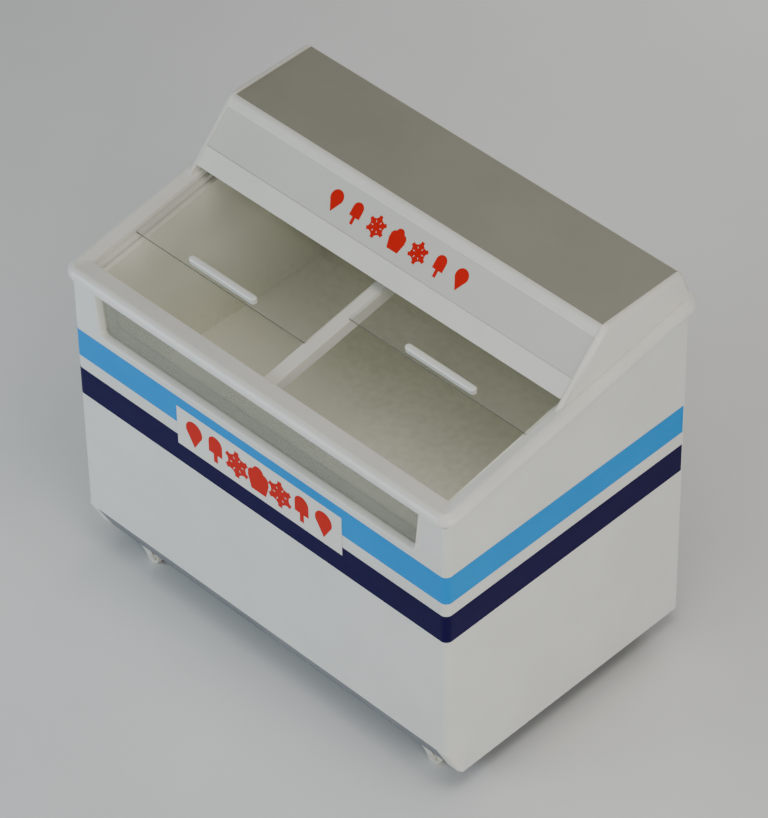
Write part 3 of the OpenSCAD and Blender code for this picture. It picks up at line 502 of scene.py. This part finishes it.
def corner_cap_piece(node):
    """Moulded foot cap: swells out of the cabinet's corner and follows the kick's slope to a round toe."""
    lo, hi = span(node, CABINET)
    kick_lo, kick_hi = span("kick_panel", CABINET)
    inner, outer = sorted((abs(lo.x), abs(hi.x)))
    flip = 1 if lo.x > 0 else -1
    thin = 0.25 * MM  # how far the moulding stands off the skin where it doesn't swell
    swell_depth = -lo.y - thin
    fade = 18 * MM  # the swell dies away over this length at the rear edge
    sheet = 3.1 * MM
    crest = kick_hi.z + 9 * MM
    kick_back = kick_hi.y - 3 * MM + lo.y - kick_lo.y
    kick_drop = kick_hi.z - kick_lo.z
    rings = []
    for z in cap_levels(lo.z, crest, hi.z):
        height = z - lo.z
        swell = cap_swell(z, crest)
        wall = -thin - swell_depth * swell
        slope = kick_lo.y + kick_back * (kick_hi.z - z) / kick_drop
        front = soft_max(wall, slope, 6 * MM) + 5 * MM * near_foot(height, 11 * MM)
        edge = outer - 1.6 * MM * near_foot(height, 3 * MM)
        radius = 9 * MM + 9.5 * MM * ease((height - 72 * MM) / (18 * MM))  # the cabinet's, at the top
        face = cap_face(inner, edge, front, hi.y, radius)
        outside = []
        for point, normal in face:
            faded = swell * ease((hi.y - point.y) / fade)
            give = swell_depth * (1 - faded) * normal.x
            outside.append(point - Vector((give, 0)))
        inside = [point - normal * sheet for (_, normal), point in zip(face, outside)]
        rings.append([CABINET @ Vector((flip * p.x, p.y, z)) for p in outside + inside[::-1]])
    return rings_mesh(node + "_moulding", rings)


for cap in ("left_corner_cap", "right_corner_cap"):
    stand_for(corner_cap_piece(cap), plastic_white, cap)
film("light_blue_stripe", blue_film)
film("navy_stripe", navy_film)
plain("front_badge", badge_white, 0.5 * MM)
film("badge_pictograms", red_film, whole_faces=False)
plain("insulation_foam", foam_tan, 0.5 * MM)
plain("evaporator_tube", copper_tube, 0.2 * MM, segments=1)
plain("window_outer_pane", window_glass, 0.6 * MM)
plain("window_inner_pane", inner_glass, 0.6 * MM)
plain("rear_grille", paint_white, 0.5 * MM)


# ---------- window and liner ----------
def window_corners():
    """The pane's outline in X and Z, counterclockwise, carried on up past the rim's underside."""
    hull = hull_corners([(p.x, p.z) for p in vertices("window_outer_pane")], 0.1 * MM)
    area = sum(p.x * q.y - q.x * p.y for p, q in zip(hull, hull[1:] + hull[:1]))
    if area < 0:
        hull.reverse()
    top_edge = max(p.y for p in hull) - 2 * MM
    carried = Vector((0, 25 * MM))
    return [p + carried if p.y > top_edge else p for p in hull]


def window_ring(inset, y):
    corners = window_corners()
    return lift(ALONG_Y, outline(corners, [0.0] * len(corners), inset, 1), y)


def window_frame_piece():
    """Frame through the wall: a thin lip on the skin, and a broad soft edge down to the outer pane."""
    pane_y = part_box("window_frame")[1].y
    # Inset from the pane's outline and depth in from the skin, in mm: back of the lip, lip, soft edge.
    section = [(-3.9, 0.0), (-11.0, 0.0), (-10.9, -0.9), (-10.3, -1.7), (-9.2, -2.0), (-6.6, -2.0),
               (-5.6, -1.8), (-4.6, -1.0), (-3.2, 0.8), (-2.1, 3.2), (-1.1, 6.4), (-0.35, 9.8),
               (0.0, 12.4)]
    rings = [window_ring(inset * MM, wrap_lo.y + depth * MM) for inset, depth in section]
    rings += [window_ring(0.0, pane_y), window_ring(-3.9 * MM, pane_y)]
    ring = rings_mesh("window_moulding", rings, closed=True)
    top = span("window_frame", DECK)[1].z
    wider = box_corners(-0.7, -0.5, 0.7, 0.5)  # than the whole freezer
    return cut_away(ring, rings_mesh("above", [lift(DECK, wider, w) for w in (top, top + 0.1)]))


def window_hole(y):
    """Block round the liner's front wall at y, 4 mm larger all round than the pane."""
    return rings_mesh("window_block", [window_ring(-4 * MM, y + side * MM) for side in (-6, 6)])


def drain_bore(z):
    """Block round the liner's floor at z, as wide as the drain tube."""
    lo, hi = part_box("drain_tube")
    middle = (lo + hi).xy / 2
    bore = [middle + p for p in circle((hi.x - lo.x) / 2, 48)]
    return rings_mesh("bore", [lift(LEVEL, bore, z + side * MM) for side in (-9, 9)])


def liner_piece():
    """Folded liner: round upright corners, sharp floor fold, flange, window cut-out and drain hole."""
    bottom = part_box("tub_liner")[0].z
    sheet = 2 * MM
    flange = 2.7 * MM
    floor = [p for p in vertices("tub_liner") if p.z < bottom + sheet * 1.01]
    x1 = max(p.x for p in floor) - sheet
    y0 = min(p.y for p in floor) + sheet
    y1 = max(p.y for p in floor) - sheet
    top = span("tub_liner", DECK)[1].z
    brim_lo, brim_hi = span("tub_liner", DECK, top - 0.1 * MM)
    corner = [12 * MM] * 4
    inner = outline(box_corners(-x1, y0, x1, y1), corner)
    outer = outline(box_corners(-x1, y0, x1, y1), corner, -sheet)
    brim = outline(box_corners(brim_lo.x, brim_lo.y, brim_hi.x, brim_hi.y), [3 * MM] * 4)
    liner = rings_mesh("liner_sheet", [
        lift(LEVEL, inner, bottom + sheet), on_deck(inner, top), lift(DECK, brim, top),
        lift(DECK, brim, top - flange), on_deck(outer, top - flange), lift(LEVEL, outer, bottom)])
    return cut_away(cut_away(liner, drain_bore(bottom)), window_hole(y0))


stand_for(window_frame_piece(), plastic_white, "window_frame")
stand_for(liner_piece(), liner_white, "tub_liner")


# ---------- rim, rail and tracks ----------
def rim_piece():
    """Bullnose rim: one profile run round the outer and inner outlines."""
    lo, hi = span("rim_frame", DECK)
    tracks_lo, tracks_hi = span("lid_tracks", DECK)
    radius = (hi.z - lo.z) / 2
    middle = (hi.z + lo.z) / 2
    gap = 0.3 * MM
    outer = box_corners(lo.x, lo.y, hi.x, hi.y)
    inner = box_corners(tracks_lo.x - gap, tracks_lo.y - gap, tracks_hi.x + gap, tracks_hi.y + gap)
    ledge = 12 * MM
    shoulder = 5 * MM
    shoulder_top = hi.z - 8 * MM
    nose = [radians(d) for d in range(-90, 97, 8)]  # from straight down to a little past straight up
    outside = [(radius * (1 - cos(a)), middle + radius * sin(a)) for a in nose]
    inside = [(-shoulder * (1 - sin(a)), shoulder_top - shoulder * (1 - cos(a)))
              for a in (quarter(k) for k in range(6))]
    inside += [(0.0, tracks_lo.z), (ledge, tracks_lo.z), (ledge, lo.z)]
    rings = [lift(DECK, outline(outer, [34 * MM] * 4, inset), w) for inset, w in outside]
    rings += [lift(DECK, outline(inner, [2.5 * MM] * 4, inset), w) for inset, w in inside]
    return rings_mesh("rim_moulding", rings, closed=True)


stand_for(rim_piece(), rim_white, "rim_frame")


def rail_piece():
    """Centre rail; it closes up under the track that lies on it."""
    lo, hi = span("centre_rail", DECK)
    corners = box_corners(lo.x, lo.z, hi.x, hi.z + 2 * MM)
    radii = [3 * MM, 3 * MM, 0.1 * MM, 0.1 * MM]
    return rounded_prism("centre_rail_moulding", UP_THE_DECK, corners, radii, lo.y, hi.y, 0.3 * MM)


stand_for(rail_piece(), rim_white, "centre_rail")
plain("lid_tracks", track_white, 1.5 * MM, segments=3)
plain("lid_buffers", rubber_black, 1.5 * MM, segments=3)


# ---------- canopy ----------
def cheek_piece(node):
    """Flat cheek with a proud edge, rolled over on the outside; its foot is sunk into the rim."""
    lo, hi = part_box(node)
    sink = 9 * MM
    corners = hull_corners([(p.y, p.z) for p in vertices(node)], 1 * MM)
    deck_top = span(node, DECK)[0].z
    feet = [p for p in corners if (DECK.inverted() @ Vector((0, p.x, p.y))).z < deck_top + 1 * MM]
    front, rear = sorted(feet, key=lambda p: p.x)
    front_top, rear_top, shoulder = sorted([p for p in corners if p not in feet], key=lambda p: p.x)
    run = (rear - front).normalized()
    up = Vector((-run.y, run.x))
    front_way = (front - front_top).normalized()
    rear_way = (shoulder - rear_top).normalized()
    sunk_front = front + front_way * (sink / -front_way.dot(up))
    sunk_rear = rear_top + rear_way * ((rear - up * sink - rear_top).dot(up) / rear_way.dot(up))
    corners = [sunk_front, sunk_rear, rear_top, front_top]
    radii = [4 * MM, 4 * MM, 26 * MM, 26 * MM]
    inside, outside = 2.5 * MM, 12.5 * MM
    edges = (inside, outside) if lo.x > 0 else (outside, inside)
    return bar_along_x(node + "_moulding", corners, radii, lo.x, hi.x, edges)


for cheek in ("left_cheek", "right_cheek"):
    stand_for(cheek_piece(cheek), plastic_white, cheek)

plain("canopy_top", top_grain_and_shade, 0.8 * MM)
plain("canopy_back", plastic_white, 1.0 * MM)
plain("fascia_lower_rail", plastic_white, 1.6 * MM, segments=3)
plain("sign_panel", sign_shaded_white, 0.5 * MM)
film("sign_pictograms", red_film, whole_faces=False)


def upper_rail_piece():
    """Upper rail whose face rolls over into the canopy's top."""
    lo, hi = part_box("fascia_upper_rail")
    face_lo, face_hi = span("fascia_upper_rail", FASCIA)
    back = FASCIA @ Vector((0, face_lo.y, face_lo.z))
    foot = FASCIA @ Vector((0, face_lo.y, face_hi.z))
    rise = (hi.z - foot.z) / sin(fascia_slope)
    nose = foot + Vector((0, cos(fascia_slope), sin(fascia_slope))) * rise
    thick = Vector((0, 0, 9 * MM))
    corners = [p.yz for p in (foot, back, hi - thick, hi, nose)]
    radii = [1.2 * MM, 1.2 * MM, 0.4 * MM, 0.2 * MM, 15 * MM]
    return bar_along_x("fascia_upper_moulding", corners, radii, lo.x, hi.x, (0.3 * MM, 0.3 * MM), 12)


stand_for(upper_rail_piece(), plastic_white, "fascia_upper_rail")
plain("lamp_reflector", reflector_white, 0.6 * MM)
plain("lamp_tube", lamp_opal, 1.0 * MM)
plain("lamp_holders", plastic_white, 1.2 * MM)


# ---------- lids ----------
def lid_pane(node):
    lo, hi = span(node, DECK)
    corners = box_corners(lo.x, lo.y, hi.x, hi.y)
    return rounded_prism(node + "_pane", DECK, corners, [3 * MM] * 4, lo.z, hi.z, 1 * MM, 1 * MM)


def lid_grip(node):
    """Bar handle with a rolled top, round ends and a hollow along each flank for the fingers."""
    lo, hi = span(node, DECK)
    slim = Vector((0, 1.2 * MM, 0))
    lo += slim
    hi -= slim
    corners = box_corners(lo.x, lo.y, hi.x, hi.y)
    radii = [(hi.y - lo.y) / 2 * 0.999] * 4  # just under half the width, so that no side vanishes
    # Inset in mm and share of the height, from the foot up the hollow flank.
    flank = [(1.6, 0.0), (0.6, 0.08), (0.4, 0.16), (1.6, 0.34), (1.7, 0.46), (0.3, 0.62)]
    sections = [(inset * MM, lo.z + (hi.z - lo.z) * share) for inset, share in flank]
    roll_in, roll_down = 7 * MM * 0.98, 7 * MM * 0.86
    sections += [(roll_in * (1 - cos(turn)), hi.z - roll_down * (1 - sin(turn)))
                 for turn in (quarter(k, 7) for k in range(1, 8))]
    rings = [lift(DECK, outline(corners, radii, inset), w) for inset, w in sections]
    return rings_mesh(node + "_grip", rings)


def dark_edges(pane):
    """Gives a pane's ground front and rear edges a darker colour, which is painted shade along those edges.
    """
    pane.data.materials.append(glass_edge_shade)
    for face in pane.data.polygons:
        if abs(face.normal.dot(slide)) > 0.5:
            face.material_index = 1


for side in ("left", "right"):
    dark_edges(stand_for(lid_pane(side + "_lid_glass"), lid_glass, side + "_lid_glass"))
    stand_for(lid_grip(side + "_lid_handle"), handle_white, side + "_lid_handle")


# ---------- machine compartment, rear and underside ----------
plain("compressor", compressor_black, 1.5 * MM, segments=3)
plain("compressor_mounts", rubber_black, 1.5 * MM)
plain("condenser", fin_metal, 0.2 * MM, segments=1)
plain("fan_shroud", dark_plastic, 0.8 * MM)
plain("fan_motor", dark_paint, 1.5 * MM)
plain("fan_blades", fin_metal, 0.4 * MM)
plain("refrigerant_pipes", copper_tube, 0.3 * MM, segments=1)
plain("filter_drier", copper_tube, 0.8 * MM)
plain("control_box", dark_plastic, 1.2 * MM, segments=3)
plain("thermostat_knob", knob_white, 0.8 * MM, segments=3)
plain("lamp_switch", switch_red, 0.8 * MM, segments=3)
plain("cord_gland", dark_plastic, 0.6 * MM)
plain("drain_tube", track_grey, 0.5 * MM)
plain("drain_plug", rubber_black, 0.8 * MM, segments=3)
plain("rear_screws", zinc_steel, 0.6 * MM, segments=3)
plain("caster_plates", zinc_steel, 0.5 * MM)


# ---------- casters ----------
def wheel_piece(node):
    """Nylon wheel: crowned tread, dished sides and a raised hub."""
    lo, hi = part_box(node)
    axle = Vector(joint(node.replace("_wheel", "_roll"))["pos_m"])
    radius = (hi.z - lo.z) / 2
    half = (hi.y - lo.y) / 2
    bore = 4.05 * MM
    # Shares of the radius and of the half width: hub, dish, rim and the crown of the tread.
    side = [(0.36, 1.0), (0.40, 0.93), (0.44, 0.72), (0.72, 0.66), (0.80, 0.80), (0.86, 0.97),
            (0.90, 1.0), (0.955, 0.93), (0.985, 0.78), (1.0, 0.35)]
    profile = [(bore, half)] + [(r * radius, h * half) for r, h in side]
    profile += [(r, -h) for r, h in reversed(profile)]
    place = Matrix.Translation(axle) @ Matrix.Rotation(pi / 2, 4, "X")
    return lathe(node + "_tyre", place, profile)


for corner in ("front_left", "front_right", "rear_left", "rear_right"):
    plain(corner + "_fork", caster_white, 0.4 * MM)
    stand_for(wheel_piece(corner + "_wheel"), wheel_nylon, corner + "_wheel")


# ---------- floor, lights and camera ----------
def floor_piece():
    bpy.ops.mesh.primitive_plane_add(size=30)
    floor = bpy.context.object
    floor.name = "studio_floor"
    material, tree, shader = new_material("studio_floor")
    tone = ramp(tree, noise(tree, *FLOOR_TONE), (0.3, (0.86, 0.86, 0.85)), (0.7, (0.89, 0.89, 0.88)))
    tree.links.new(tone, shader.inputs["Base Color"])
    set_inputs(shader, {"Roughness": 0.75})
    floor.data.materials.append(material)


def aimed(place, aim):
    """Turn that points a lamp or a camera from its place at its aim."""
    return (aim - place).to_track_quat("-Z", "Y")


def softbox(name, place, size, power, colour):
    """Rectangular lamp aimed at the middle of the freezer."""
    data = bpy.data.lights.new(name, "AREA")
    data.shape = "RECTANGLE"
    data.size, data.size_y = size
    data.energy = power
    data.color = colour
    lamp = bpy.data.objects.new(name, data)
    lamp.location = place
    lamp.rotation_euler = aimed(Vector(place), Vector((0, 0, 0.5))).to_euler()
    bpy.context.scene.collection.objects.link(lamp)


def studio_world():
    """Faint even light from all round."""
    world = bpy.data.worlds.new("studio")
    world.use_nodes = True
    set_inputs(world.node_tree.nodes["Background"], {"Color": (0.97, 0.98, 0.95, 1), "Strength": 0.20})
    bpy.context.scene.world = world


def camera():
    """The photo's view, from a fit to its straight edges."""
    place = Vector((5.0289, -4.9668, 7.1439))
    aim = Vector((0.1038, -0.0910, 0.6508))
    roll = Matrix.Rotation(radians(-1.02), 4, "Z")
    data = bpy.data.cameras.new("camera")
    data.sensor_fit = "VERTICAL"
    data.sensor_height = 36.0
    data.lens = 200.68
    eye = bpy.data.objects.new("camera", data)
    eye.matrix_world = Matrix.Translation(place) @ aimed(place, aim).to_matrix().to_4x4() @ roll
    bpy.context.scene.collection.objects.link(eye)
    bpy.context.scene.camera = eye


floor_piece()
softbox("front_box", (-2.1, -3.6, 1.5), (2.6, 1.8), 90, (0.72, 0.88, 1.0))
softbox("right_box", (4.0, -1.2, 0.9), (2.0, 1.8), 62, (1.0, 0.99, 0.94))
softbox("top_box", (1.0, -0.5, 3.3), (1.6, 1.6), 31, (1.0, 0.98, 0.92))
softbox("back_box", (-1.0, 3.6, 2.0), (2.4, 1.4), 34, (1.0, 0.98, 0.95))
studio_world()
camera()
